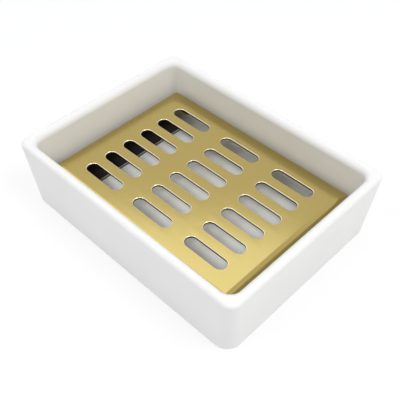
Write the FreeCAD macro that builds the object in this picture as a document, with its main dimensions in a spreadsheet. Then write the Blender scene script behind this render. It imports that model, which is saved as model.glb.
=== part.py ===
import FreeCAD, Part
import Sketcher
import math
import os

# Soap dish: a white ceramic tray with a raised, slotted drain plate of gold-coloured sheet metal.
# The plate stands on a leg at each short end, and each leg stands on a thin black cushion strip.
# Frame: origin under the middle of the tray, +X along its long side, +Z up, millimetres.

# Driving dimensions: name, millimetres, meaning
DRIVING_SIZES = [
    ("tray_length", 135.0, "tray over its rim, long side"),
    ("tray_width", 101.0, "tray over its rim, short side"),
    ("tray_height", 35.4, "rim above the table"),
    ("foot_length", 130.7, "tray at the table, long side"),
    ("foot_width", 98.0, "tray at the table, short side"),
    ("outer_corner_radius", 6.2, "outer corner, seen from above"),
    ("wall_thickness", 5.2, "ceramic wall, measured level"),
    ("inner_corner_radius", 2.4, "inner corner, seen from above"),
    ("floor_level", 6.7, "top of the tray's floor above the table"),
    ("floor_hollow", 2.0, "rounding between floor and walls"),
    ("rim_outer_round", 1.8, "rounding of the rim, outside"),
    ("rim_inner_round", 3.1, "rounding of the rim, inside"),
    ("foot_round", 1.4, "rounding of the outer bottom edge"),
    ("foot_ring_width", 6.0, "ring that the tray stands on"),
    ("foot_recess_depth", 1.0, "recess inside the foot ring"),
    ("strip_thickness", 1.5, "cushion strip under a leg"),
    ("strip_width", 14.1, "cushion strip across the leg"),
    ("strip_end_gap", 6.5, "plate beyond each end of a cushion strip"),
    ("strip_corner_radius", 1.5, "corner of a cushion strip"),
    ("plate_depth", 13.8, "top of the plate below the rim"),
    ("sheet_thickness", 1.0, "metal sheet"),
    ("end_clearance", 2.85, "room beyond each end of the plate, where the well is narrowest"),
    ("side_clearance", 1.13, "room beyond each side of the plate, where the well is narrowest"),
    ("bend_radius", 4.6, "outside of the plate's rolled edge"),
    ("plate_corner_radius", 2.6, "corner of the plate, seen from above"),
    ("skirt_depth", 6.5, "rolled edge of the long sides below the plate's top"),
    ("leg_return", 9.0, "how far a leg wraps round the plate's corner"),
    ("relief_radius", 2.5, "corner between a leg and the skirt"),
    ("end_border", 13.35, "plate beyond the outermost slots, long side"),
    ("side_border", 11.04, "plate beyond the outermost slots, short side"),
    ("column_web", 9.86, "metal between two slots, end to end"),
    ("row_web", 5.445, "metal between two slots, side by side"),
    ("slot_shift", 0.5, "how far the slots lie to the right of the plate's middle"),
    ("slot_edge_break", 0.25, "broken edge round each slot"),
]

SLOT_COLUMNS = 3
SLOT_ROWS = 6

# Sizes that follow from the driving ones: name, formula
FOLLOWING_SIZES = [
    ("opening_length", "sizes.tray_length - 2 * sizes.wall_thickness"),
    ("opening_width", "sizes.tray_width - 2 * sizes.wall_thickness"),
    ("floor_share", "sizes.floor_level / sizes.tray_height"),
    ("floor_length",
     "sizes.foot_length + (sizes.tray_length - sizes.foot_length) * fits.floor_share"
     " - 2 * sizes.wall_thickness"),
    ("floor_width",
     "sizes.foot_width + (sizes.tray_width - sizes.foot_width) * fits.floor_share"
     " - 2 * sizes.wall_thickness"),
    ("well_length", "min(fits.floor_length; fits.opening_length)"),
    ("well_width", "min(fits.floor_width; fits.opening_width)"),
    ("recess_length", "sizes.foot_length - 2 * sizes.foot_ring_width"),
    ("recess_width", "sizes.foot_width - 2 * sizes.foot_ring_width"),
    ("leg_bottom", "sizes.floor_level + sizes.strip_thickness"),
    ("plate_top", "sizes.tray_height - sizes.plate_depth"),
    ("plate_height", "fits.plate_top - fits.leg_bottom"),
    ("plate_length", "fits.well_length - 2 * sizes.end_clearance"),
    ("plate_width", "fits.well_width - 2 * sizes.side_clearance"),
    ("flat_length", "fits.plate_length - 2 * sizes.bend_radius"),
    ("flat_width", "fits.plate_width - 2 * sizes.bend_radius"),
    ("skirt_bottom", "fits.plate_top - sizes.skirt_depth"),
    ("window_length", "fits.plate_length - 2 * sizes.leg_return"),
    ("strip_offset", "(fits.plate_length - sizes.strip_width) / 2"),
    ("strip_length", "fits.plate_width - 2 * sizes.strip_end_gap"),
    ("slot_length",
     "(fits.plate_length - 2 * sizes.end_border - %d * sizes.column_web) / %d"
     % (SLOT_COLUMNS - 1, SLOT_COLUMNS)),
    ("slot_width",
     "(fits.plate_width - 2 * sizes.side_border - %d * sizes.row_web) / %d"
     % (SLOT_ROWS - 1, SLOT_ROWS)),
    ("slot_run", "fits.slot_length - fits.slot_width"),
    ("column_span", "fits.plate_length - 2 * sizes.end_border - fits.slot_length"),
    ("row_span", "fits.plate_width - 2 * sizes.side_border - fits.slot_width"),
]

QUARTER_TURN = math.pi / 2
TOLERANCE = 0.01
UP = FreeCAD.Vector(0, 0, 1)

DOCUMENT = FreeCAD.newDocument("soap_dish")


def write_sizes():
    """Put the driving sizes in the sheet and the sizes that follow in a set of variables."""
    sheet = DOCUMENT.addObject("Spreadsheet::Sheet", "sizes")
    for row, (alias, value, meaning) in enumerate(DRIVING_SIZES, start=1):
        sheet.set("A%d" % row, alias)
        sheet.set("B%d" % row, str(value))
        sheet.set("C%d" % row, meaning)
        sheet.setAlias("B%d" % row, alias)
    fits = DOCUMENT.addObject("App::VarSet", "fits")
    for name, formula in FOLLOWING_SIZES:
        fits.addProperty("App::PropertyFloat", name, "Fits")
        fits.setExpression(name, formula)
    DOCUMENT.recompute()
    return sheet, fits


SHEET, FITS = write_sizes()


def size(name):
    """A size in millimetres, by its name in the sheet or among the sizes that follow."""
    if name in FITS.PropertiesList:
        return getattr(FITS, name)
    return getattr(SHEET, name)


def formula_of(name):
    """The name of a size as an expression writes it."""
    if name in FITS.PropertiesList:
        return "fits." + name
    return "sizes." + name


def new_body(label):
    """An empty body whose label is the name of the piece."""
    body = DOCUMENT.addObject("PartDesign::Body", label)
    body.Label = label
    return body


def attach(item, body, plane_role):
    """Lay a sketch or a primitive on one of the body's own planes."""
    planes = [plane for plane in body.Origin.OriginFeatures if plane.Role == plane_role]
    item.AttachmentSupport = [(planes[0], "")]
    item.MapMode = "FlatFace"


def new_sketch(body, name, plane_role, level=None):
    """A sketch on one of the body's own planes, raised to a named level where one is given."""
    sketch = body.newObject("Sketcher::SketchObject", name)
    attach(sketch, body, plane_role)
    if level:
        sketch.setExpression("AttachmentOffset.Base.z", formula_of(level))
    return sketch


def bind(sketch, name, constraint, formula):
    """Add a named constraint whose value follows a formula."""
    index = sketch.addConstraint(constraint)
    sketch.renameConstraint(index, name)
    sketch.setExpression("Constraints." + name, formula)


def draw_rounded_rectangle(sketch, length_name, width_name, radius_name):
    """A rectangle with round corners, centred on the sketch's origin, bound to named sizes."""
    half_x = size(length_name) / 2
    half_y = size(width_name) / 2
    radius = size(radius_name)
    inner_x = half_x - radius
    inner_y = half_y - radius
    sides = [
        ((half_x, -inner_y), (half_x, inner_y), (inner_x, inner_y)),
        ((inner_x, half_y), (-inner_x, half_y), (-inner_x, inner_y)),
        ((-half_x, inner_y), (-half_x, -inner_y), (-inner_x, -inner_y)),
        ((-inner_x, -half_y), (inner_x, -half_y), (inner_x, -inner_y)),
    ]
    for turn, (start, end, centre) in enumerate(sides):
        circle = Part.Circle(FreeCAD.Vector(*centre, 0), UP, radius)
        corner = Part.ArcOfCircle(circle, turn * QUARTER_TURN, (turn + 1) * QUARTER_TURN)
        sketch.addGeometry(Part.LineSegment(FreeCAD.Vector(*start, 0), FreeCAD.Vector(*end, 0)), False)
        sketch.addGeometry(corner, False)
    for side in (0, 2, 4, 6):
        corner = side + 1
        direction = "Vertical" if side in (0, 4) else "Horizontal"
        sketch.addConstraint(Sketcher.Constraint("Tangent", side, 2, corner, 1))
        sketch.addConstraint(Sketcher.Constraint("Tangent", corner, 2, (side + 2) % 8, 1))
        sketch.addConstraint(Sketcher.Constraint(direction, side))
    for corner in (3, 5, 7):
        sketch.addConstraint(Sketcher.Constraint("Equal", 1, corner))
    sketch.addConstraint(Sketcher.Constraint("Symmetric", 1, 3, 5, 3, -1, 1))
    bind(sketch, "corner", Sketcher.Constraint("Radius", 1, radius), formula_of(radius_name))
    bind(sketch, "length", Sketcher.Constraint("Distance", 0, 1, 4, 2 * half_x), formula_of(length_name))
    bind(sketch, "width", Sketcher.Constraint("Distance", 2, 1, 6, 2 * half_y), formula_of(width_name))


def draw_slot(sketch):
    """The first slot: a stadium at the lower left, placed by the borders of the plate."""
    half_run = size("slot_run") / 2
    radius = size("slot_width") / 2
    middle_x = size("slot_shift") - size("column_span") / 2
    middle_y = -size("row_span") / 2
    left = FreeCAD.Vector(middle_x - half_run, middle_y, 0)
    right = FreeCAD.Vector(middle_x + half_run, middle_y, 0)
    rise = FreeCAD.Vector(0, radius, 0)
    right_end = Part.ArcOfCircle(Part.Circle(right, UP, radius), -QUARTER_TURN, QUARTER_TURN)
    left_end = Part.ArcOfCircle(Part.Circle(left, UP, radius), QUARTER_TURN, 3 * QUARTER_TURN)
    for curve in (Part.LineSegment(left - rise, right - rise), right_end,
                  Part.LineSegment(right + rise, left + rise), left_end):
        sketch.addGeometry(curve, False)
    for curve in range(4):
        sketch.addConstraint(Sketcher.Constraint("Tangent", curve, 2, (curve + 1) % 4, 1))
    sketch.addConstraint(Sketcher.Constraint("Horizontal", 0))
    sketch.addConstraint(Sketcher.Constraint("Equal", 1, 3))
    bind(sketch, "width", Sketcher.Constraint("Distance", 0, 1, 2, 2 * radius), "fits.slot_width")
    bind(sketch, "run", Sketcher.Constraint("DistanceX", 3, 3, 1, 3, 2 * half_run), "fits.slot_run")
    bind(sketch, "place_x", Sketcher.Constraint("DistanceX", 3, 3, -1, 1, -left.x),
         "(fits.column_span + fits.slot_run) / 2 - sizes.slot_shift")
    bind(sketch, "place_y", Sketcher.Constraint("DistanceY", 3, 3, -1, 1, -left.y), "fits.row_span / 2")


def draw_window(sketch):
    """The opening between the legs, under a long side: open below, with round upper corners."""
    half = size("window_length") / 2
    low = size("floor_level")
    high = size("skirt_bottom")
    radius = size("relief_radius")
    shoulder = high - radius
    inner = half - radius
    outline = [(-half, low), (half, low), (half, shoulder), (inner, high), (-inner, high), (-half, shoulder)]
    points = [FreeCAD.Vector(*point, 0) for point in outline]
    right = Part.Circle(FreeCAD.Vector(inner, shoulder, 0), UP, radius)
    left = Part.Circle(FreeCAD.Vector(-inner, shoulder, 0), UP, radius)
    for curve in (Part.LineSegment(points[0], points[1]), Part.LineSegment(points[1], points[2]),
                  Part.ArcOfCircle(right, 0, QUARTER_TURN), Part.LineSegment(points[3], points[4]),
                  Part.ArcOfCircle(left, QUARTER_TURN, 2 * QUARTER_TURN),
                  Part.LineSegment(points[5], points[0])):
        sketch.addGeometry(curve, False)
    sketch.addConstraint(Sketcher.Constraint("Coincident", 0, 2, 1, 1))
    sketch.addConstraint(Sketcher.Constraint("Coincident", 5, 2, 0, 1))
    for curve in (1, 2, 3, 4):
        sketch.addConstraint(Sketcher.Constraint("Tangent", curve, 2, curve + 1, 1))
    for curve, direction in ((1, "Vertical"), (3, "Horizontal"), (5, "Vertical")):
        sketch.addConstraint(Sketcher.Constraint(direction, curve))
    sketch.addConstraint(Sketcher.Constraint("Equal", 2, 4))
    sketch.addConstraint(Sketcher.Constraint("Symmetric", 0, 1, 0, 2, -2))
    bind(sketch, "length", Sketcher.Constraint("DistanceX", 0, 1, 0, 2, 2 * half), "fits.window_length")
    bind(sketch, "low", Sketcher.Constraint("DistanceY", -1, 1, 0, 1, low), "sizes.floor_level")
    bind(sketch, "high", Sketcher.Constraint("DistanceY", -1, 1, 3, 1, high), "fits.skirt_bottom")
    bind(sketch, "corner", Sketcher.Constraint("Radius", 2, radius), "sizes.relief_radius")


def leaning_wedge(body, name, kind, lower, upper):
    """A block, or a hollow, with flat leaning sides between two centred rectangles.

    Each rectangle is the names of its length, its width and its level, with no level at the table.
    The wedge lies on the upright plane, so its own Y is up and its own Z runs across the tray.
    """
    wedge = body.newObject(kind, name)
    attach(wedge, body, "XZ_Plane")
    for rectangle, mark, height in ((lower, "", "Ymin"), (upper, "2", "Ymax")):
        length, width, level = rectangle
        for axis, span in (("X", length), ("Z", width)):
            wedge.setExpression(axis + mark + "min", "-%s / 2" % formula_of(span))
            wedge.setExpression(axis + mark + "max", "%s / 2" % formula_of(span))
        wedge.setExpression(height, formula_of(level) if level else "0")
    DOCUMENT.recompute()


def upright_edges(feature, low, high):
    """Names of the edges that run from one height to another."""
    names = []
    for number, edge in enumerate(feature.Shape.Edges, start=1):
        box = edge.BoundBox
        if abs(box.ZMin - low) < TOLERANCE and abs(box.ZMax - high) < TOLERANCE:
            names.append("Edge%d" % number)
    return names


def level_edges(feature, level, length_name, width_name, within):
    """Names of the edges at a height that lie within, or beyond, a named length and width."""
    half_x = size(length_name) / 2
    half_y = size(width_name) / 2
    names = []
    for number, edge in enumerate(feature.Shape.Edges, start=1):
        box = edge.BoundBox
        if abs(box.ZMin - level) > TOLERANCE or abs(box.ZMax - level) > TOLERANCE:
            continue
        reach_x = max(abs(box.XMin), abs(box.XMax))
        reach_y = max(abs(box.YMin), abs(box.YMax))
        is_within = reach_x < half_x + TOLERANCE and reach_y < half_y + TOLERANCE
        if is_within == within:
            names.append("Edge%d" % number)
    return names


def round_edges(body, name, size_name, edge_names):
    """Round edges of the body's last feature by a named size."""
    base = body.Tip
    feature = body.newObject("PartDesign::Fillet", name)
    feature.Base = (base, edge_names)
    feature.setExpression("Radius", formula_of(size_name))
    DOCUMENT.recompute()


def make_tray():
    """The ceramic tray: leaning walls round one hollow, a soft rim and a foot ring below."""
    body = new_body("ceramic_tray")
    top = size("tray_height")
    leaning_wedge(body, "tray_block", "PartDesign::AdditiveWedge",
                  ("foot_length", "foot_width", None), ("tray_length", "tray_width", "tray_height"))
    round_edges(body, "outer_corners", "outer_corner_radius", upright_edges(body.Tip, 0, top))
    leaning_wedge(body, "tray_hollow", "PartDesign::SubtractiveWedge",
                  ("floor_length", "floor_width", "floor_level"),
                  ("opening_length", "opening_width", "tray_height"))
    round_edges(body, "inner_corners", "inner_corner_radius",
                upright_edges(body.Tip, size("floor_level"), top))

    recess_outline = new_sketch(body, "recess_outline", "XY_Plane")
    draw_rounded_rectangle(recess_outline, "recess_length", "recess_width", "inner_corner_radius")
    recess = body.newObject("PartDesign::Pocket", "foot_recess")
    recess.Profile = recess_outline
    recess.Reversed = True
    recess.setExpression("Length", "sizes.foot_recess_depth")
    DOCUMENT.recompute()

    round_edges(body, "floor_rounding", "floor_hollow",
                level_edges(body.Tip, size("floor_level"), "floor_length", "floor_width", True))
    round_edges(body, "rim_outer_rounding", "rim_outer_round",
                level_edges(body.Tip, top, "opening_length", "opening_width", False))
    round_edges(body, "rim_inner_rounding", "rim_inner_round",
                level_edges(body.Tip, top, "opening_length", "opening_width", True))
    round_edges(body, "foot_rounding", "foot_round",
                level_edges(body.Tip, 0, "recess_length", "recess_width", False))
    return body


def make_plate():
    """The drain plate: a pressed and punched pan of sheet metal, upside down, cut to two legs."""
    body = new_body("drain_plate")
    outline = new_sketch(body, "plate_outline", "XY_Plane", "leg_bottom")
    draw_rounded_rectangle(outline, "plate_length", "plate_width", "plate_corner_radius")
    block = body.newObject("PartDesign::Pad", "plate_block")
    block.Profile = outline
    block.setExpression("Length", "fits.plate_height")
    DOCUMENT.recompute()
    round_edges(body, "rolled_edge", "bend_radius",
                level_edges(block, size("plate_top"), "plate_length", "plate_width", True))

    pressed = body.Tip
    open_faces = []
    for number, face in enumerate(pressed.Shape.Faces, start=1):
        if face.BoundBox.ZMax < size("leg_bottom") + TOLERANCE:
            open_faces.append("Face%d" % number)
    sheet = body.newObject("PartDesign::Thickness", "pressed_sheet")
    sheet.Base = (pressed, open_faces)
    sheet.Reversed = True
    sheet.setExpression("Value", "sizes.sheet_thickness")
    DOCUMENT.recompute()

    window = new_sketch(body, "window_outline", "XZ_Plane")
    draw_window(window)
    windows = body.newObject("PartDesign::Pocket", "side_windows")
    windows.Profile = window
    windows.SideType = "Symmetric"
    windows.Type = "ThroughAll"
    DOCUMENT.recompute()

    slot_outline = new_sketch(body, "slot_outline", "XY_Plane", "plate_top")
    draw_slot(slot_outline)
    slot = body.newObject("PartDesign::Pocket", "first_slot")
    slot.Profile = slot_outline
    slot.Type = "ThroughAll"
    DOCUMENT.recompute()

    grid = body.newObject("PartDesign::LinearPattern", "slot_grid")
    grid.Originals = [slot]
    grid.Direction = (slot_outline, ["H_Axis"])
    grid.Direction2 = (slot_outline, ["V_Axis"])
    grid.Occurrences = SLOT_COLUMNS
    grid.Occurrences2 = SLOT_ROWS
    grid.setExpression("Length", "fits.column_span")
    grid.setExpression("Length2", "fits.row_span")
    body.Tip = grid
    DOCUMENT.recompute()

    top = size("plate_top")
    around = level_edges(grid, top, "flat_length", "flat_width", True)
    outer = [name for name in around if is_flat_border(grid.Shape.getElement(name))]
    broken = body.newObject("PartDesign::Chamfer", "broken_slot_edges")
    broken.Base = (grid, [name for name in around if name not in outer])
    broken.setExpression("Size", "sizes.slot_edge_break")
    DOCUMENT.recompute()
    return body


def is_flat_border(edge):
    """Whether an edge lies on the border where the flat of the plate turns down."""
    box = edge.BoundBox
    at_end = max(abs(box.XMin), abs(box.XMax)) > size("flat_length") / 2 - TOLERANCE
    at_side = max(abs(box.YMin), abs(box.YMax)) > size("flat_width") / 2 - TOLERANCE
    return at_end or at_side


def make_strip(label, side):
    """A cushion strip on the tray's floor, flush with the leg at one end of the plate."""
    body = new_body(label)
    outline = new_sketch(body, label + "_outline", "XY_Plane", "floor_level")
    draw_rounded_rectangle(outline, "strip_width", "strip_length", "strip_corner_radius")
    strip = body.newObject("PartDesign::Pad", label + "_pad")
    strip.Profile = outline
    strip.setExpression("Length", "sizes.strip_thickness")
    body.setExpression("Placement.Base.x", "%d * fits.strip_offset" % side)
    DOCUMENT.recompute()
    return body


def check_and_write(bodies):
    """Stop on any failed object or unsound solid, then write each piece to its own file."""
    DOCUMENT.recompute()
    for item in DOCUMENT.Objects:
        if "Invalid" in item.State or "Error" in item.State:
            raise RuntimeError("failed object: " + item.Name)
    for body in bodies:
        if body.Shape.isNull() or not body.Shape.isValid():
            raise RuntimeError("unsound solid: " + body.Label)
    os.makedirs("parts", exist_ok=True)
    for body in bodies:
        body.Shape.exportStep("parts/" + body.Label + ".step")
        print(body.Label, "volume", round(body.Shape.Volume, 1), "solids", len(body.Shape.Solids))


TRAY = make_tray()
PLATE = make_plate()
LEFT_STRIP = make_strip("cushion_strip_left", -1)
RIGHT_STRIP = make_strip("cushion_strip_right", 1)
check_and_write([TRAY, PLATE, LEFT_STRIP, RIGHT_STRIP])
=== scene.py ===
"""Soap dish: a white ceramic tray with a raised, slotted drain plate of gold-coloured sheet metal.

The plate stands on a leg at each short end, and each leg stands on a thin black cushion strip.
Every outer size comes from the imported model. Lengths are in metres, with +X along the dish's
long side and +Z up.
"""

import logging
import math
from dataclasses import dataclass, field
from enum import Enum
from typing import Any, Iterable, NamedTuple, Sequence

import bmesh
import bpy
from mathutils import Matrix, Quaternion, Vector
from mathutils.geometry import tessellate_polygon


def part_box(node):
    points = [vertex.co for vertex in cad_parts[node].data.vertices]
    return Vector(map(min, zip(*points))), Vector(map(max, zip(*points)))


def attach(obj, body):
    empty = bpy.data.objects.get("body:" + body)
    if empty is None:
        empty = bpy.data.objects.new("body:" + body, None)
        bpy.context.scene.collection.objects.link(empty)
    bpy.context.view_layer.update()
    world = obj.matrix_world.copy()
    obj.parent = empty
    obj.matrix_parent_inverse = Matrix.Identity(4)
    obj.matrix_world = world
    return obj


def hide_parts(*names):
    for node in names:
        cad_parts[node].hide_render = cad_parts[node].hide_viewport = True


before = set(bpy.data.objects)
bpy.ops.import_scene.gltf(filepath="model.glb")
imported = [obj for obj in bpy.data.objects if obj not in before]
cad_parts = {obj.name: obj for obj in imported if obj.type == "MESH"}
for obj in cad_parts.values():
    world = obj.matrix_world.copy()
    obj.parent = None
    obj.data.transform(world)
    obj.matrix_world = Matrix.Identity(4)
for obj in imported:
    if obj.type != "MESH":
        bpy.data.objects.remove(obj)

LOG = logging.getLogger("soap_dish")
BODY = "root"

MM = 0.001
QUARTER_TURN = math.pi / 2

# An edge that bends by more than the crease angle stays sharp. Vertices nearer than the merge gap
# become one, and places nearer than the touch gap count as the same.
CREASE_ANGLE = math.radians(50)
MERGE_GAP = 0.002 * MM
TOUCH_GAP = 0.001 * MM

Colour = tuple[float, float, float, float]
Triple = tuple[float, float, float]
WHITE: Colour = (1.0, 1.0, 1.0, 1.0)

# Marks on faces, which the finishes read.
# Marks the slots' walls. The gold finish roughens them and paints them near black as painted shade.
SHEARED_AND_SHADED = "sheared"
# Marks the slots' rounded edge breaks, which the gold finish paints pale as a painted highlight.
PAINTED_EDGE_GLINT = "polished"
# Marks the cushion strips' rounded edges and sides, which their finish paints paler as a painted
# highlight.
PAINTED_SHEEN = "worn"

# The middle value of a noise pattern.
NOISE_MIDDLE = 0.5

# Numbers of the sockets of a Mix node that mixes colours.
MIX_SHARE = 0
MIX_FIRST = 6
MIX_SECOND = 7
MIX_RESULT = 2


class Side(Enum):
    """The end of the plate that a cushion strip lies under."""

    LEFT = "left"
    RIGHT = "right"


class Signal:
    """A node's socket that takes part in Python arithmetic by adding Math nodes."""

    def __init__(self, maker: "NodeMaker", socket: bpy.types.NodeSocket | None) -> None:
        """Wrap a socket.

        Args:
            maker: Adds the nodes to the socket's tree.
            socket: The output that carries the number, or None on a node without outputs.
        """
        self.maker = maker
        self.socket = socket

    def _math(self, operation: str, first: "Signal | float", second: "Signal | float") -> "Signal":
        """Add one Math node and return its result."""
        return self.maker.node("ShaderNodeMath", {"operation": operation}, {0: first, 1: second})

    def __add__(self, other: "Signal | float") -> "Signal":
        """Sum of this and other."""
        return self._math("ADD", self, other)

    def __radd__(self, other: float) -> "Signal":
        """Sum of other and this."""
        return self._math("ADD", other, self)

    def __sub__(self, other: "Signal | float") -> "Signal":
        """This less other."""
        return self._math("SUBTRACT", self, other)

    def __rsub__(self, other: float) -> "Signal":
        """Other less this."""
        return self._math("SUBTRACT", other, self)

    def __mul__(self, other: "Signal | float") -> "Signal":
        """Product of this and other."""
        return self._math("MULTIPLY", self, other)

    def __rmul__(self, other: float) -> "Signal":
        """Product of other and this."""
        return self._math("MULTIPLY", other, self)


class NodeMaker:
    """Adds nodes to one node tree."""

    def __init__(self, tree: bpy.types.NodeTree) -> None:
        """Keep the tree that gets the nodes."""
        self.tree = tree

    def node(self, kind: str, settings: dict[str, Any] | None = None,
             inputs: dict[Any, Any] | None = None, output: int | str = 0) -> Signal:
        """Add a node, set it up and link or set its sockets.

        Args:
            kind: The node's type.
            settings: Properties, set before the sockets.
            inputs: Socket name or number to a value, a Signal or a list of Signals.
            output: Name or number of the output to return.

        Returns:
            The chosen output.
        """
        node = self.tree.nodes.new(kind)
        for name, value in (settings or {}).items():
            setattr(node, name, value)
        for name, value in (inputs or {}).items():
            if isinstance(value, Signal):
                value = [value]
            if isinstance(value, list):
                for signal in value:
                    self.tree.links.new(signal.socket, node.inputs[name])
            else:
                node.inputs[name].default_value = value
        return Signal(self, node.outputs[output] if node.outputs else None)

    def given(self) -> dict[str, Signal]:
        """The inputs of the node group, by name."""
        entry = self.tree.nodes.new("NodeGroupInput")
        return {socket.name: Signal(self, socket) for socket in entry.outputs if socket.name}

    def noise(self, scale: float, detail: float) -> Signal:
        """A noise pattern on the piece's own coordinates.

        Args:
            scale: Features per metre.
            detail: Layers of finer noise.

        Returns:
            The pattern, from about 0 to about 1.
        """
        place = self.node("ShaderNodeTexCoord", output="Object")
        return self.node("ShaderNodeTexNoise", None,
                         {"Vector": place, "Scale": scale, "Detail": detail}, "Fac")

    def face_mark(self, name: str) -> Signal:
        """Strength of a mark on the piece's faces, 0 where there is none."""
        return self.node("ShaderNodeAttribute", {"attribute_name": name}, None, "Fac")

    def bump(self, height: Signal, strength: float, depth: float) -> Signal:
        """A surface normal bent by a height pattern."""
        return self.node("ShaderNodeBump", None,
                         {"Strength": strength, "Distance": depth, "Height": height})

    def blend(self, share: Signal, first: Signal | Colour, second: Signal | Colour) -> Signal:
        """A colour between two others, by the share of the second."""
        return self.node("ShaderNodeMix", {"data_type": "RGBA"},
                         {MIX_SHARE: share, MIX_FIRST: first, MIX_SECOND: second}, MIX_RESULT)

    def overlay(self, share: Signal, first: Signal, second: Signal) -> Signal:
        """A shader between two others, by the share of the second."""
        return self.node("ShaderNodeMixShader", None, {0: share, 1: first, 2: second})

    def surface(self, inputs: dict[str, Any]) -> None:
        """End a material in a principled shader with these values and Signals."""
        shader = self.node("ShaderNodeBsdfPrincipled", None, inputs)
        self.node("ShaderNodeOutputMaterial", None, {"Surface": shader})


def new_material(name: str) -> tuple[bpy.types.Material, NodeMaker]:
    """Make an empty node material.

    Args:
        name: The material's name.

    Returns:
        The material and the maker of its nodes.
    """
    material = bpy.data.materials.new(name)
    material.use_nodes = True
    material.node_tree.nodes.clear()
    return material, NodeMaker(material.node_tree)


@dataclass(frozen=True)
class CeramicFinish:
    """Smooth white ceramic: near even in tone, with a faint ripple in the surface.

    Attributes:
        pale: Tone at the light end of the soft clouds.
        deep: Tone at their other end.
        roughness: Mean roughness.
        roughness_swing: How far the grain carries it up and down, in all.
        ior: Refractive index.
        specular: Strength of the mirrored part.
        grain_height: Height of the grain, as a share of the ripples'.
    """

    pale: Colour = (0.83, 0.83, 0.815, 1.0)
    deep: Colour = (0.79, 0.788, 0.77, 1.0)
    roughness: float = 0.42
    roughness_swing: float = 0.10
    ior: float = 1.5
    specular: float = 0.4
    clouds_per_metre: float = 35.0
    cloud_detail: float = 3.0
    grain_per_metre: float = 1500.0
    grain_detail: float = 2.0
    grain_height: float = 0.15
    ripples_per_metre: float = 190.0
    ripple_detail: float = 2.0
    ripple_depth: float = 0.06 * MM
    ripple_strength: float = 0.35

    def material(self) -> bpy.types.Material:
        """Build the finish.

        Returns:
            The material.
        """
        material, maker = new_material("white_ceramic")
        clouds = maker.noise(self.clouds_per_metre, self.cloud_detail)
        grain = maker.noise(self.grain_per_metre, self.grain_detail)
        ripples = maker.noise(self.ripples_per_metre, self.ripple_detail)
        height = ripples + self.grain_height * grain
        maker.surface({
            "Base Color": maker.blend(clouds, self.pale, self.deep),
            "Roughness": self.roughness + self.roughness_swing * (grain - NOISE_MIDDLE),
            "Normal": maker.bump(height, self.ripple_strength, self.ripple_depth),
            "IOR": self.ior,
            "Specular IOR Level": self.specular,
        })
        return material


@dataclass(frozen=True)
class GoldFinish:
    """Satin gold-coloured metal, with a painted highlight on the slot edges and painted shade on the
    slot walls.

    Attributes:
        bright: Tone of the rolled sheet at one end of its soft patches.
        dull: Tone at their other end.
        edge: Pale tone painted on the rounded edge breaks as a highlight.
        slot_wall_shade: Painted shade: the near-black tone of the slots' walls.
        roughness: Mean roughness of the rolled sheet.
        roughness_swing: How far the patches carry it up and down, in all.
        cut_roughening: What the slots' walls add to it.
    """

    bright: Colour = (0.45, 0.35, 0.120, 1.0)
    dull: Colour = (0.425, 0.328, 0.111, 1.0)
    # Painted highlight: this pale tone stands in for the glint on the slots' edge breaks.
    edge: Colour = (0.80, 0.74, 0.54, 1.0)
    # Painted shade: the slots' walls are drawn near black.
    slot_wall_shade: Colour = (0.06, 0.045, 0.025, 1.0)
    roughness: float = 0.165
    roughness_swing: float = 0.04
    cut_roughening: float = 0.35
    patches_per_metre: float = 28.0
    patch_detail: float = 4.0
    grain_per_metre: float = 3200.0
    grain_detail: float = 2.0
    grain_depth: float = 0.005 * MM
    grain_strength: float = 0.2

    def material(self) -> bpy.types.Material:
        """Build the finish.

        Returns:
            The material.
        """
        material, maker = new_material("gold_sheet")
        patches = maker.noise(self.patches_per_metre, self.patch_detail)
        grain = maker.noise(self.grain_per_metre, self.grain_detail)
        # The slots' walls are roughened and given the painted shade tone.
        sheared = maker.face_mark(SHEARED_AND_SHADED)
        rolled = maker.blend(patches, self.bright, self.dull)
        # The edge breaks get the painted highlight tone.
        with_edge_glint = maker.blend(maker.face_mark(PAINTED_EDGE_GLINT), rolled, self.edge)
        maker.surface({
            "Base Color": maker.blend(sheared, with_edge_glint, self.slot_wall_shade),
            "Roughness": (self.roughness + self.roughness_swing * (patches - NOISE_MIDDLE)
                          + self.cut_roughening * sheared),
            "Normal": maker.bump(grain, self.grain_strength, self.grain_depth),
            "Metallic": 1.0,
        })
        return material


@dataclass(frozen=True)
class CushionFinish:
    """Matt black cushion strip with a fine open texture, a painted highlight on its edges and a fainter
    one on its sides.

    Attributes:
        dark: Tone in the pores.
        pale: Tone between them.
        edge: Grey tone painted on the rounded edges as a highlight.
        roughness: Mean roughness.
        roughness_swing: How far the pores carry it up and down, in all.
    """

    dark: Colour = (0.008, 0.006, 0.006, 1.0)
    pale: Colour = (0.020, 0.017, 0.016, 1.0)
    # Painted highlight on the strip's rounded edges.
    edge: Colour = (0.34, 0.34, 0.33, 1.0)
    roughness: float = 0.8
    roughness_swing: float = 0.15
    pores_per_metre: float = 1400.0
    pore_detail: float = 3.0
    pore_depth: float = 0.08 * MM
    pore_strength: float = 0.5

    def material(self) -> bpy.types.Material:
        """Build the finish.

        Returns:
            The material.
        """
        material, maker = new_material("black_cushion")
        pores = maker.noise(self.pores_per_metre, self.pore_detail)
        matt = maker.blend(pores, self.dark, self.pale)
        maker.surface({
            # Edges and sides take the painted highlight tone.
            "Base Color": maker.blend(maker.face_mark(PAINTED_SHEEN), matt, self.edge),
            "Roughness": self.roughness + self.roughness_swing * (pores - NOISE_MIDDLE),
            "Normal": maker.bump(pores, self.pore_strength, self.pore_depth),
        })
        return material


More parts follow.
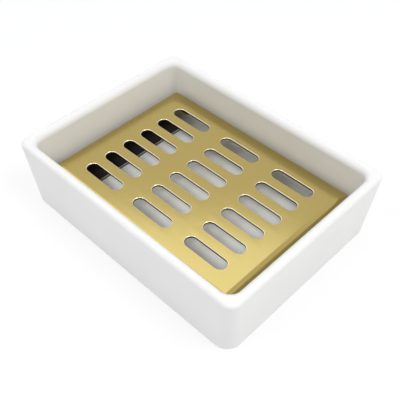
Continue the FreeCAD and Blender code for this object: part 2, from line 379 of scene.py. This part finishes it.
@dataclass
class Shell:
    """Vertices and faces of a piece, gathered ring by ring. A ring is a list of vertex numbers."""

    vertices: list[Vector] = field(default_factory=list)
    faces: list[tuple[int, ...]] = field(default_factory=list)

    def ring(self, points: Iterable[Vector]) -> list[int]:
        """Add a closed ring of vertices.

        Args:
            points: Their places.

        Returns:
            Their numbers.
        """
        start = len(self.vertices)
        self.vertices.extend(points)
        return list(range(start, len(self.vertices)))

    def quad(self, first: Sequence[int], second: Sequence[int], here: int, after: int) -> None:
        """Join two places of one ring to the same two places of another."""
        self.faces.append((first[here], first[after], second[after], second[here]))

    def sleeve(self, rings: Sequence[Sequence[int]]) -> None:
        """Join each ring to the next one with quads.

        Args:
            rings: Rings of as many vertices each.
        """
        for first, second in zip(rings, rings[1:]):
            count = len(first)
            for here in range(count):
                self.quad(first, second, here, (here + 1) % count)

    def cap(self, ring: Sequence[int]) -> None:
        """Close a level ring with one face."""
        self.faces.append(tuple(ring))

    def fill(self, *rings: Sequence[int]) -> None:
        """Fill a level area.

        Args:
            rings: The area's outline, and then the outlines of its holes.
        """
        numbers = [number for ring in rings for number in ring]
        outlines = [[self.vertices[number] for number in ring] for ring in rings]
        for triangle in tessellate_polygon(outlines):
            self.faces.append(tuple(numbers[corner] for corner in triangle))

    def item(self, name: str) -> bpy.types.Object:
        """Put what was gathered in the scene.

        Args:
            name: Name of the object and of its mesh.

        Returns:
            The object, which sits at the origin.
        """
        mesh = bpy.data.meshes.new(name)
        mesh.from_pydata([tuple(point) for point in self.vertices], [], self.faces)
        mesh.update()
        item = bpy.data.objects.new(name, mesh)
        bpy.context.scene.collection.objects.link(item)
        return item


def quarter(steps: int) -> list[tuple[float, float]]:
    """Sine and cosine of each step of a quarter turn."""
    turns = [step / steps * QUARTER_TURN for step in range(steps + 1)]
    return [(math.sin(turn), math.cos(turn)) for turn in turns]


def rounded_ring(half_x: float, half_y: float, radius: float, height: float, steps: int,
                 stops: Sequence[float] = ()) -> list[Vector]:
    """Points of a level rectangle with round corners.

    Args:
        half_x: Half its length.
        half_y: Half its width.
        radius: Radius of its corners.
        height: Its level.
        steps: Faces round each corner.
        stops: More points along the two long sides, by their place along X.

    Returns:
        The points, anticlockwise seen from above, starting at the right-hand side.
    """
    points = []
    for corner, (sign_x, sign_y) in enumerate(((1, 1), (-1, 1), (-1, -1), (1, -1))):
        centre_x = sign_x * (half_x - radius)
        centre_y = sign_y * (half_y - radius)
        for step in range(steps + 1):
            turn = (corner + step / steps) * QUARTER_TURN
            points.append(Vector((centre_x + radius * math.cos(turn),
                                  centre_y + radius * math.sin(turn), height)))
        if sign_x == sign_y:
            for place in sorted(stops, reverse=sign_y > 0):
                points.append(Vector((place, sign_y * half_y, height)))
    return points


def mark(item: bpy.types.Object, name: str, numbers: Iterable[int], strength: float = 1.0) -> None:
    """Give some faces a mark that a finish reads.

    Args:
        item: The piece.
        name: The mark's name.
        numbers: The faces' numbers.
        strength: How strong the mark is there.
    """
    marks = item.data.attributes.get(name) or item.data.attributes.new(name, "FLOAT", "FACE")
    for number in numbers:
        marks.data[number].value = strength


def bake(item: bpy.types.Object) -> None:
    """Turn an object's modifiers into a plain mesh.

    Args:
        item: The piece.
    """
    view = bpy.context.evaluated_depsgraph_get()
    baked = bpy.data.meshes.new_from_object(item.evaluated_get(view))
    baked.name = item.name
    item.modifiers.clear()
    item.data = baked


def smooth(item: bpy.types.Object) -> None:
    """Point the faces outwards, shade them smooth and keep the creases sharp.

    Args:
        item: The piece.
    """
    work = bmesh.new()
    work.from_mesh(item.data)
    bmesh.ops.remove_doubles(work, verts=work.verts, dist=MERGE_GAP)
    bmesh.ops.recalc_face_normals(work, faces=work.faces)
    for face in work.faces:
        face.smooth = True
    for edge in work.edges:
        edge.smooth = not (edge.is_manifold and edge.calc_face_angle() > CREASE_ANGLE)
    work.to_mesh(item.data)
    work.free()
    weighted = item.modifiers.new("even_flats", "WEIGHTED_NORMAL")
    weighted.keep_sharp = True
    bake(item)


@dataclass
class CeramicTray:
    """The cast tray: leaning walls round one hollow, a soft rim and a foot ring below.

    Attributes:
        lean_x: How far each end wall leans out, from the foot to the rim.
        lean_y: How far each side wall leans out.
        wall: Thickness of the walls, measured level.
        rim_corner: Radius of the outer corners at the rim.
        foot_corner: Radius of the outer corners at the foot.
        inner_rim_corner: Radius of the hollow's corners at the rim.
        inner_corner: Radius of the hollow's corners at the floor.
        floor_level: Height of the hollow's floor.
        floor_hollow: Radius between the floor and the walls.
        foot_ring: Width of the ring that the tray stands on.
        recess: Height of the recess inside that ring.
        height: Full height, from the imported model.
        rim_x: Half the length that the leaning ends reach at the full height.
        rim_y: Half the width that the leaning sides reach there.
    """

    node: str = "ceramic_tray"
    lean_x: float = 2.15 * MM
    lean_y: float = 1.5 * MM
    wall: float = 5.2 * MM
    rim_corner: float = 4.8 * MM
    foot_corner: float = 7.7 * MM
    inner_rim_corner: float = 5.2 * MM
    inner_corner: float = 2.4 * MM
    floor_level: float = 6.7 * MM
    floor_hollow: float = 2.0 * MM
    rim_outer_round: float = 1.8 * MM
    rim_inner_round: float = 3.1 * MM
    foot_round: float = 1.4 * MM
    foot_ring: float = 6.0 * MM
    recess: float = 1.0 * MM
    corner_steps: int = 28
    round_steps: int = 10
    finish: CeramicFinish = CeramicFinish()
    height: float = field(init=False)
    rim_x: float = field(init=False)
    rim_y: float = field(init=False)

    def __post_init__(self) -> None:
        """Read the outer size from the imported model, which is widest where the rim's round starts."""
        low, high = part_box(self.node)
        self.height = high.z - low.z
        above = self.rim_outer_round / self.height
        self.rim_x = (high.x - low.x) / 2 + self.lean_x * above
        self.rim_y = (high.y - low.y) / 2 + self.lean_y * above

    def _ring(self, inset: float, level: float, radius: float) -> list[Vector]:
        """Points of a level ring inside the leaning outer surface.

        Args:
            inset: Level distance to that surface.
            level: The ring's height.
            radius: Radius of its corners.

        Returns:
            The points.
        """
        below = 1 - level / self.height
        return rounded_ring(self.rim_x - self.lean_x * below - inset,
                            self.rim_y - self.lean_y * below - inset,
                            radius, level, self.corner_steps)

    def _outer_corner(self, level: float) -> float:
        """Radius of the outer corner, which closes in from the foot to the rim."""
        share = level / self.height
        return self.foot_corner + (self.rim_corner - self.foot_corner) * share

    def _inner_corner(self, level: float) -> float:
        """Radius of the hollow's corner, which opens out from the floor to the rim."""
        share = max(0.0, (level - self.floor_level) / (self.height - self.floor_level))
        return self.inner_corner + (self.inner_rim_corner - self.inner_corner) * share

    def _stations(self) -> list[tuple[float, float, float]]:
        """List the tray's rings, from the recess over the rim to the floor.

        Returns:
            Inset, level and corner radius of each ring.
        """
        steps = quarter(self.round_steps)
        top = self.height
        rows = [(self.foot_ring, self.recess, self.inner_corner),
                (self.foot_ring, 0.0, self.inner_corner)]
        for sine, cosine in steps:
            inset = self.foot_round * (1 - sine)
            level = self.foot_round * (1 - cosine)
            rows.append((inset, level, self._outer_corner(level) - inset))
        for sine, cosine in steps:
            inset = self.rim_outer_round * (1 - cosine)
            level = top - self.rim_outer_round * (1 - sine)
            rows.append((inset, level, self._outer_corner(level) - inset))
        for sine, cosine in steps:
            gain = self.rim_inner_round * (1 - sine)
            level = top - self.rim_inner_round * (1 - cosine)
            rows.append((self.wall - gain, level, self._inner_corner(level) + gain))
        for sine, cosine in steps:
            inset = self.floor_hollow * (1 - cosine)
            level = self.floor_level + self.floor_hollow * (1 - sine)
            rows.append((self.wall + inset, level, self._inner_corner(level) - inset))
        return rows

    def build(self) -> bpy.types.Object:
        """Make the tray's mesh and dress it.

        Returns:
            The finished tray.
        """
        shell = Shell()
        rings = [shell.ring(self._ring(*row)) for row in self._stations()]
        shell.sleeve(rings)
        shell.cap(rings[0])
        shell.cap(rings[-1])
        tray = shell.item("tray_body")
        tray.data.materials.append(self.finish.material())
        smooth(tray)
        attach(tray, BODY)
        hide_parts(self.node)
        return tray


class Skin(NamedTuple):
    """Rings of one skin of the plate's rolled border.

    Attributes:
        flat: Round the flat.
        shoulder: Lower edge of the skirts and, where there are legs, the height they start at.
        foot: Lower edge of the legs.
        in_leg: Whether each place of the rings lies in a leg.
    """

    flat: list[int]
    shoulder: list[int]
    foot: list[int]
    in_leg: list[bool]


@dataclass
class DrainPlate:
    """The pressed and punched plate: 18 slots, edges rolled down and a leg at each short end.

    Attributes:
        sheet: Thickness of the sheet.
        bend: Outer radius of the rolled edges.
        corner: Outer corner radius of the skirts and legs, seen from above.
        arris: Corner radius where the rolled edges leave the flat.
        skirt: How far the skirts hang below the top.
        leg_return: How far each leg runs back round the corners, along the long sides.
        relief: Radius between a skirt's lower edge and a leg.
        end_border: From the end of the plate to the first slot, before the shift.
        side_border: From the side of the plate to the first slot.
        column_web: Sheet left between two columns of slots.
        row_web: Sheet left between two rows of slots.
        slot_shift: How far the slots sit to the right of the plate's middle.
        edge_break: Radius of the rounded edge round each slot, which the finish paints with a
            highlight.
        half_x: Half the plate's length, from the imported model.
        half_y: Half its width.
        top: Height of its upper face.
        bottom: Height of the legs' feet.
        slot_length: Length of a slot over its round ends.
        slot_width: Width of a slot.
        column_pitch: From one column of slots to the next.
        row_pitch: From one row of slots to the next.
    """

    node: str = "drain_plate"
    sheet: float = 1.0 * MM
    bend: float = 4.6 * MM
    corner: float = 2.6 * MM
    arris: float = 0.4 * MM
    skirt: float = 6.5 * MM
    leg_return: float = 9.0 * MM
    relief: float = 2.5 * MM
    end_border: float = 13.35 * MM
    side_border: float = 11.04 * MM
    column_web: float = 9.86 * MM
    row_web: float = 5.445 * MM
    slot_shift: float = 0.5 * MM
    edge_break: float = 0.28 * MM
    columns: int = 3
    rows: int = 6
    corner_steps: int = 14
    bend_steps: int = 12
    relief_steps: int = 6
    slot_steps: int = 16
    break_steps: int = 4
    finish: GoldFinish = GoldFinish()
    half_x: float = field(init=False)
    half_y: float = field(init=False)
    top: float = field(init=False)
    bottom: float = field(init=False)
    slot_length: float = field(init=False)
    slot_width: float = field(init=False)
    column_pitch: float = field(init=False)
    row_pitch: float = field(init=False)

    def __post_init__(self) -> None:
        """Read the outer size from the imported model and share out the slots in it."""
        low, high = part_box(self.node)
        self.half_x = (high.x - low.x) / 2
        self.half_y = (high.y - low.y) / 2
        self.top = high.z
        self.bottom = low.z
        self.slot_length = ((2 * (self.half_x - self.end_border)
                             - (self.columns - 1) * self.column_web) / self.columns)
        self.slot_width = ((2 * (self.half_y - self.side_border)
                            - (self.rows - 1) * self.row_web) / self.rows)
        self.column_pitch = self.slot_length + self.column_web
        self.row_pitch = self.slot_width + self.row_web

    def _slot_outline(self, gain: float, level: float) -> list[Vector]:
        """Points of a slot at the origin: two half rounds, joined by straight sides.

        Args:
            gain: How much wider than the slot it is, all round.
            level: Its height.

        Returns:
            The points, anticlockwise seen from above.
        """
        radius = self.slot_width / 2 + gain
        half_run = (self.slot_length - self.slot_width) / 2
        points = []
        for sign in (1, -1):
            for step in range(self.slot_steps + 1):
                turn = step / self.slot_steps * math.pi - sign * QUARTER_TURN
                points.append(Vector((sign * half_run + radius * math.cos(turn),
                                      radius * math.sin(turn), level)))
        return points

    def _slot_cell(self) -> bpy.types.Object:
        """Make one slot in its own rectangle of sheet.

        Returns:
            The cell, centred on the origin seen from above, at the plate's height.
        """
        shell = Shell()
        half_x = self.column_pitch / 2
        half_y = self.row_pitch / 2
        under = self.top - self.sheet
        corners = ((half_x, half_y), (-half_x, half_y), (-half_x, -half_y), (half_x, -half_y))
        above = shell.ring(Vector((x, y, self.top)) for x, y in corners)
        below = shell.ring(Vector((x, y, under)) for x, y in corners)
        edge = []
        for sine, cosine in quarter(self.break_steps):
            gain = self.edge_break * (1 - sine)
            level = self.top - self.edge_break * (1 - cosine)
            edge.append(shell.ring(self._slot_outline(gain, level)))
        shell.sleeve(edge)
        edge_faces = range(len(shell.faces))
        exit_ring = shell.ring(self._slot_outline(0.0, under))
        shell.sleeve([edge[-1], exit_ring])
        cut_faces = range(len(edge_faces), len(shell.faces))
        shell.fill(above, edge[0])
        shell.fill(below, exit_ring)
        cell = shell.item("slot_cell")
        # The rounded edge faces get the painted highlight.
        mark(cell, PAINTED_EDGE_GLINT, edge_faces)
        # The slots' walls get painted shade and a rougher finish.
        mark(cell, SHEARED_AND_SHADED, cut_faces)
        return cell

    def _stops(self) -> list[float]:
        """Find where the lower edge of a long side bends: at each relief.

        Returns:
            The places along X, on both halves of the plate.
        """
        window = self.half_x - self.leg_return
        places = [window - self.relief * (1 - sine) for sine, _ in quarter(self.relief_steps)]
        return [sign * place for place in places for sign in (1, -1)]

    def _lower_edge(self, x: float, on_side: bool) -> float:
        """Find where the border's wall ends, with the legs left out.

        Args:
            x: Place along X.
            on_side: Whether the place lies on one of the two long sides.

        Returns:
            Height of the skirt's lower edge there, or of the leg's shoulder.
        """
        shoulder = self.top - self.skirt - self.relief
        past = abs(x) - (self.half_x - self.leg_return - self.relief)
        if not on_side or past >= self.relief:
            return shoulder
        return shoulder + math.sqrt(self.relief ** 2 - max(past, 0.0) ** 2)

    def _skin(self, shell: Shell, inset: float) -> Skin:
        """Add one skin of the rolled border, from the flat down to the skirts and shoulders.

        Args:
            shell: Gathers the faces.
            inset: How far the skin lies inside the outer one.

        Returns:
            The skin's rings. The faces of its legs are still to be added.
        """
        radius = self.bend - inset
        flat_x = self.half_x - self.bend
        flat_y = self.half_y - self.bend
        middle = self.top - self.bend
        roll = []
        for sine, cosine in quarter(self.bend_steps):
            out = radius * sine
            corner = self.arris + (self.corner - inset - self.arris) * sine
            roll.append(shell.ring(rounded_ring(
                flat_x + out, flat_y + out, corner,
                middle + radius * cosine, self.corner_steps, self._stops())))
        shell.sleeve(roll)
        wall = [shell.vertices[number] for number in roll[-1]]
        side_y = self.half_y - inset
        window = self.half_x - self.leg_return
        on_side = [abs(abs(point.y) - side_y) < TOUCH_GAP for point in wall]
        in_leg = [not side or abs(point.x) > window - TOUCH_GAP
                  for point, side in zip(wall, on_side)]
        shoulder = shell.ring(Vector((point.x, point.y, self._lower_edge(point.x, side)))
                              for point, side in zip(wall, on_side))
        foot = shell.ring(Vector((point.x, point.y, self.bottom)) for point in wall)
        shell.sleeve([roll[-1], shoulder])
        return Skin(roll[0], shoulder, foot, in_leg)

    @staticmethod
    def _close(shell: Shell, outer: Skin, inner: Skin) -> None:
        """Add the legs, and join the two skins along their lower edge.

        Args:
            shell: Gathers the faces.
            outer: The outer skin.
            inner: The skin inside it.
        """
        in_leg = outer.in_leg
        count = len(in_leg)
        for here in range(count):
            after = (here + 1) % count
            if in_leg[here] and in_leg[after]:
                shell.quad(outer.shoulder, outer.foot, here, after)
                shell.quad(inner.shoulder, inner.foot, here, after)
                shell.quad(outer.foot, inner.foot, here, after)
            else:
                shell.quad(outer.shoulder, inner.shoulder, here, after)
            if in_leg[here] and not (in_leg[here - 1] and in_leg[after]):
                shell.faces.append((outer.shoulder[here], outer.foot[here],
                                    inner.foot[here], inner.shoulder[here]))

    def _border(self) -> bpy.types.Object:
        """Make the sheet round the slots: flat frame, rolled edges, skirts and legs.

        Returns:
            The border, open where the slot grid joins it.
        """
        shell = Shell()
        outer = self._skin(shell, 0.0)
        inner = self._skin(shell, self.sheet)
        for skin, level in ((outer, self.top), (inner, self.top - self.sheet)):
            shell.fill(skin.flat, shell.ring(self._grid_outline(level)))
        self._close(shell, outer, inner)
        return shell.item("plate_sheet")

    def _grid_outline(self, level: float) -> list[Vector]:
        """Outline the slot grid, with a point at each cell's corner so that the edges meet.

        Args:
            level: The outline's height.

        Returns:
            The points.
        """
        grid_x = self.columns * self.column_pitch / 2
        grid_y = self.rows * self.row_pitch / 2
        columns = [grid_x - column * self.column_pitch for column in range(self.columns)]
        rows = [grid_y - row * self.row_pitch for row in range(self.rows)]
        outline = [(x, grid_y) for x in columns]
        outline += [(-grid_x, y) for y in rows]
        outline += [(-x, -grid_y) for x in columns]
        outline += [(grid_x, -y) for y in rows]
        return [Vector((x + self.slot_shift, y, level)) for x, y in outline]

    @staticmethod
    def _slot_tree() -> bpy.types.NodeTree:
        """Build the geometry nodes that repeat the slot cell over a grid and join it to the sheet.

        Returns:
            The node group, whose inputs are the cell, the pitches, the counts, the place and the
            finish.
        """
        tree = bpy.data.node_groups.new("slot_grid", "GeometryNodeTree")
        for name, kind in (("Geometry", "Geometry"), ("Slot cell", "Object"),
                           ("Column pitch", "Float"), ("Row pitch", "Float"), ("Columns", "Int"),
                           ("Rows", "Int"), ("Place", "Vector"), ("Finish", "Material")):
            tree.interface.new_socket(name, in_out="INPUT", socket_type="NodeSocket" + kind)
        tree.interface.new_socket("Geometry", in_out="OUTPUT", socket_type="NodeSocketGeometry")
        maker = NodeMaker(tree)
        given = maker.given()
        grid = maker.node("GeometryNodeMeshGrid", None, {
            "Size X": given["Column pitch"] * (given["Columns"] - 1),
            "Size Y": given["Row pitch"] * (given["Rows"] - 1),
            "Vertices X": given["Columns"], "Vertices Y": given["Rows"]})
        placed = maker.node("GeometryNodeTransform", None,
                            {"Geometry": grid, "Translation": given["Place"]})
        cell = maker.node("GeometryNodeObjectInfo", None, {"Object": given["Slot cell"]}, "Geometry")
        cells = maker.node("GeometryNodeInstanceOnPoints", None, {"Points": placed, "Instance": cell})
        joined = maker.node("GeometryNodeJoinGeometry", None, {"Geometry": [cells, given["Geometry"]]})
        real = maker.node("GeometryNodeRealizeInstances", None, {"Geometry": joined})
        dressed = maker.node("GeometryNodeSetMaterial", None,
                             {"Geometry": real, "Material": given["Finish"]})
        maker.node("NodeGroupOutput", None, {"Geometry": dressed})
        return tree

    def build(self) -> bpy.types.Object:
        """Make the plate's mesh and dress it.

        Returns:
            The finished plate.
        """
        plate = self._border()
        cell = self._slot_cell()
        modifier = plate.modifiers.new("slot_grid", "NODES")
        modifier.node_group = self._slot_tree()
        values = {"Slot cell": cell, "Column pitch": self.column_pitch, "Row pitch": self.row_pitch,
                  "Columns": self.columns, "Rows": self.rows,
                  "Place": (self.slot_shift, 0.0, 0.0), "Finish": self.finish.material()}
        for socket in modifier.node_group.interface.items_tree:
            if socket.in_out == "INPUT" and socket.name in values:
                modifier[socket.identifier] = values[socket.name]
        bake(plate)
        bpy.data.objects.remove(cell)
        smooth(plate)
        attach(plate, BODY)
        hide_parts(self.node)
        return plate


@dataclass
class CushionStrip:
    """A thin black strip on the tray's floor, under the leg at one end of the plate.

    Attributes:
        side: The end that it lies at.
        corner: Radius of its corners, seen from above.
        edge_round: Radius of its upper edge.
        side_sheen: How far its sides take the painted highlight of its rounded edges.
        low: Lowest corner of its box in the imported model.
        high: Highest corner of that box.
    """

    side: Side
    corner: float = 1.5 * MM
    edge_round: float = 0.25 * MM
    side_sheen: float = 0.3
    corner_steps: int = 8
    round_steps: int = 4
    finish: CushionFinish = CushionFinish()
    node: str = field(init=False)
    low: Vector = field(init=False)
    high: Vector = field(init=False)

    def __post_init__(self) -> None:
        """Read the strip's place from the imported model."""
        self.node = "cushion_strip_" + self.side.value
        self.low, self.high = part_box(self.node)

    def build(self) -> bpy.types.Object:
        """Make the strip's mesh and dress it.

        Returns:
            The finished strip.
        """
        half = (self.high - self.low) / 2
        middle = (self.high + self.low) / 2
        rows = [(0.0, self.low.z)]
        for sine, cosine in quarter(self.round_steps):
            rows.append((self.edge_round * (1 - cosine),
                         self.high.z - self.edge_round * (1 - sine)))
        shell = Shell()
        rings = [shell.ring(rounded_ring(half.x - inset, half.y - inset, self.corner - inset,
                                         level, self.corner_steps)) for inset, level in rows]
        shell.sleeve(rings)
        around = len(rings[0])
        side_faces = range(around)
        edge_faces = range(around, len(shell.faces))
        shell.cap(rings[0])
        shell.cap(rings[-1])
        strip = shell.item("strip_" + self.side.value)
        # Painted highlight: faint on the sides, full on the rounded edges.
        mark(strip, PAINTED_SHEEN, side_faces, self.side_sheen)
        mark(strip, PAINTED_SHEEN, edge_faces)
        strip.data.transform(Matrix.Translation((middle.x, middle.y, 0.0)))
        strip.data.materials.append(self.finish.material())
        smooth(strip)
        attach(strip, BODY)
        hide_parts(self.node)
        return strip


@dataclass(frozen=True)
class Softbox:
    """A rectangular soft lamp.

    Attributes:
        name: The lamp's name.
        place: Its middle.
        aim: The point that it faces.
        width: Its size one way.
        depth: Its size the other way.
        brightness: How bright its face is. 1 shows white in a mirror.
        turn: How far it is turned about its own axis.
        tint: Colour of its light.
    """

    name: str
    place: Triple
    aim: Triple
    width: float
    depth: float
    brightness: float
    turn: float = 0.0
    tint: Triple = (1.0, 1.0, 1.0)

    def build(self) -> None:
        """Put the lamp in the scene."""
        lamp = bpy.data.lights.new(self.name, "AREA")
        lamp.shape = "RECTANGLE"
        lamp.size = self.width
        lamp.size_y = self.depth
        lamp.energy = self.brightness * math.pi * self.width * self.depth
        lamp.color = self.tint
        item = bpy.data.objects.new(self.name, lamp)
        item.location = self.place
        item.rotation_mode = "QUATERNION"
        ahead = Vector(self.aim) - Vector(self.place)
        spin = Quaternion((0.0, 0.0, 1.0), self.turn)
        item.rotation_quaternion = ahead.to_track_quat("-Z", "Y") @ spin
        bpy.context.scene.collection.objects.link(item)


@dataclass(frozen=True)
class Studio:
    """Pale floor, soft light and the camera at the photograph's angle.

    Attributes:
        floor_half: Half the floor's length and width.
        floor_colour: Colour of the floor.
        floor_white_share: Share of plain white in the floor that is seen. The rest keeps the
            dish's shadow.
        air_side: Light of the air from the sides and from behind the dish.
        air_front: Light of the air from the camera's side.
        front_from: How far a direction points to the front where the light starts to fall.
        front_to: How far it does where the light has fallen.
        camera_place: Where the camera stands.
        camera_ahead: The way that it looks.
        camera_right: The way to the right in its picture.
        lens_mm: Focal length.
        sensor_mm: Width of the sensor.
        nearest: What lies nearer than this isn't shown.
        lamps: The soft lamps.
    """

    floor_half: float = 3.0
    floor_colour: Colour = (0.88, 0.88, 0.88, 1.0)
    floor_white_share: float = 0.8
    air_side: Colour = (0.77, 0.77, 0.77, 1.0)
    air_front: Colour = (0.35, 0.35, 0.35, 1.0)
    front_from: float = -0.3
    front_to: float = 0.5
    camera_place: Triple = (0.15209, -0.15326, 0.23251)
    camera_ahead: Triple = (-0.48468, 0.49448, -0.72151)
    camera_right: Triple = (0.71526, 0.69885, -0.00153)
    lens_mm: float = 58.25
    sensor_mm: float = 36.0
    nearest: float = 0.01
    lamps: tuple[Softbox, ...] = (
        Softbox("back", (-0.750, 0.391, 1.20), (-0.750, 0.391, 0.0), 0.50, 1.02, 1.30,
                math.radians(125), tint=(0.76, 0.84, 1.0)),
        Softbox("right", (0.96, 0.26, 0.84), (0.0, 0.0, 0.0), 0.70, 0.70, 1.0),
        Softbox("high", (0.60, 0.12, 1.20), (0.0, 0.0, 0.0), 0.45, 0.45, 9.0),
        Softbox("left", (-0.21, -0.79, 1.13), (0.0, 0.0, 0.0), 0.30, 0.30, 10.5,
                tint=(0.98, 0.99, 1.0)),
        Softbox("front", (0.46, -0.80, 1.05), (0.0, 0.0, 0.0), 0.30, 0.30, 8.0,
                tint=(0.90, 0.95, 1.0)),
    )

    @staticmethod
    def _seen(maker: NodeMaker) -> Signal:
        """Find out whether a ray shows the background, to the camera or mirrored in metal.

        Args:
            maker: Adds the nodes that ask.

        Returns:
            1 for such a ray, and 0 for one that only carries light.
        """
        return (maker.node("ShaderNodeLightPath", output="Is Camera Ray")
                + maker.node("ShaderNodeLightPath", output="Is Glossy Ray")
                + maker.node("ShaderNodeLightPath", output="Is Transmission Ray"))

    def _floor(self) -> None:
        """Make a pale floor that reads white to the camera and keeps the dish's shadow."""
        shell = Shell()
        half = self.floor_half
        corners = ((half, half), (-half, half), (-half, -half), (half, -half))
        shell.cap(shell.ring(Vector((x, y, 0.0)) for x, y in corners))
        floor = shell.item("floor")
        material, maker = new_material("pale_floor")
        matt = maker.node("ShaderNodeBsdfDiffuse", None, {"Color": self.floor_colour})
        white = maker.node("ShaderNodeEmission", None, {"Color": WHITE})
        mixed = maker.overlay(self._seen(maker) * self.floor_white_share, matt, white)
        maker.node("ShaderNodeOutputMaterial", None, {"Surface": mixed})
        floor.data.materials.append(material)

    def _air(self) -> None:
        """Make a world that shows white, and whose light is weaker from the front."""
        world = bpy.data.worlds.new("soft_air")
        world.use_nodes = True
        world.node_tree.nodes.clear()
        maker = NodeMaker(world.node_tree)
        way = maker.node("ShaderNodeTexCoord", output="Generated")
        to_front = (-self.camera_ahead[0], -self.camera_ahead[1], 0.0)
        front = maker.node("ShaderNodeVectorMath", {"operation": "DOT_PRODUCT"},
                           {0: way, 1: to_front}, "Value")
        share = maker.node("ShaderNodeMapRange", None,
                           {"Value": front, "From Min": self.front_from, "From Max": self.front_to})
        colour = maker.blend(share, self.air_side, self.air_front)
        soft = maker.node("ShaderNodeBackground", None, {"Color": colour})
        white = maker.node("ShaderNodeBackground", None, {"Color": WHITE})
        mixed = maker.overlay(self._seen(maker), soft, white)
        maker.node("ShaderNodeOutputWorld", None, {"Surface": mixed})
        bpy.context.scene.world = world

    def _camera(self) -> None:
        """Place and turn the camera as the photograph was taken."""
        data = bpy.data.cameras.new("camera")
        data.lens = self.lens_mm
        data.sensor_width = self.sensor_mm
        data.clip_start = self.nearest
        camera = bpy.data.objects.new("camera", data)
        right = Vector(self.camera_right).normalized()
        back = -Vector(self.camera_ahead).normalized()
        up = back.cross(right).normalized()
        turn = Matrix((right, up, back)).transposed()
        camera.matrix_world = Matrix.Translation(self.camera_place) @ turn.to_4x4()
        bpy.context.scene.collection.objects.link(camera)
        bpy.context.scene.camera = camera

    def build(self) -> None:
        """Put the floor, the light and the camera in the scene."""
        self._floor()
        self._air()
        for lamp in self.lamps:
            lamp.build()
        self._camera()
        bpy.context.scene.view_settings.view_transform = "Standard"


def main() -> None:
    """Build the dish and the studio, and log each piece's face count."""
    logging.basicConfig(level=logging.INFO, format="%(name)s: %(message)s")
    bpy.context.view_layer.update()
    pieces = [CeramicTray(), DrainPlate(), CushionStrip(Side.LEFT), CushionStrip(Side.RIGHT)]
    for piece in pieces:
        made = piece.build()
        LOG.info("%s has %d faces", made.name, len(made.data.polygons))
    Studio().build()
    bpy.context.view_layer.update()


if __name__ == "__main__":
    main()
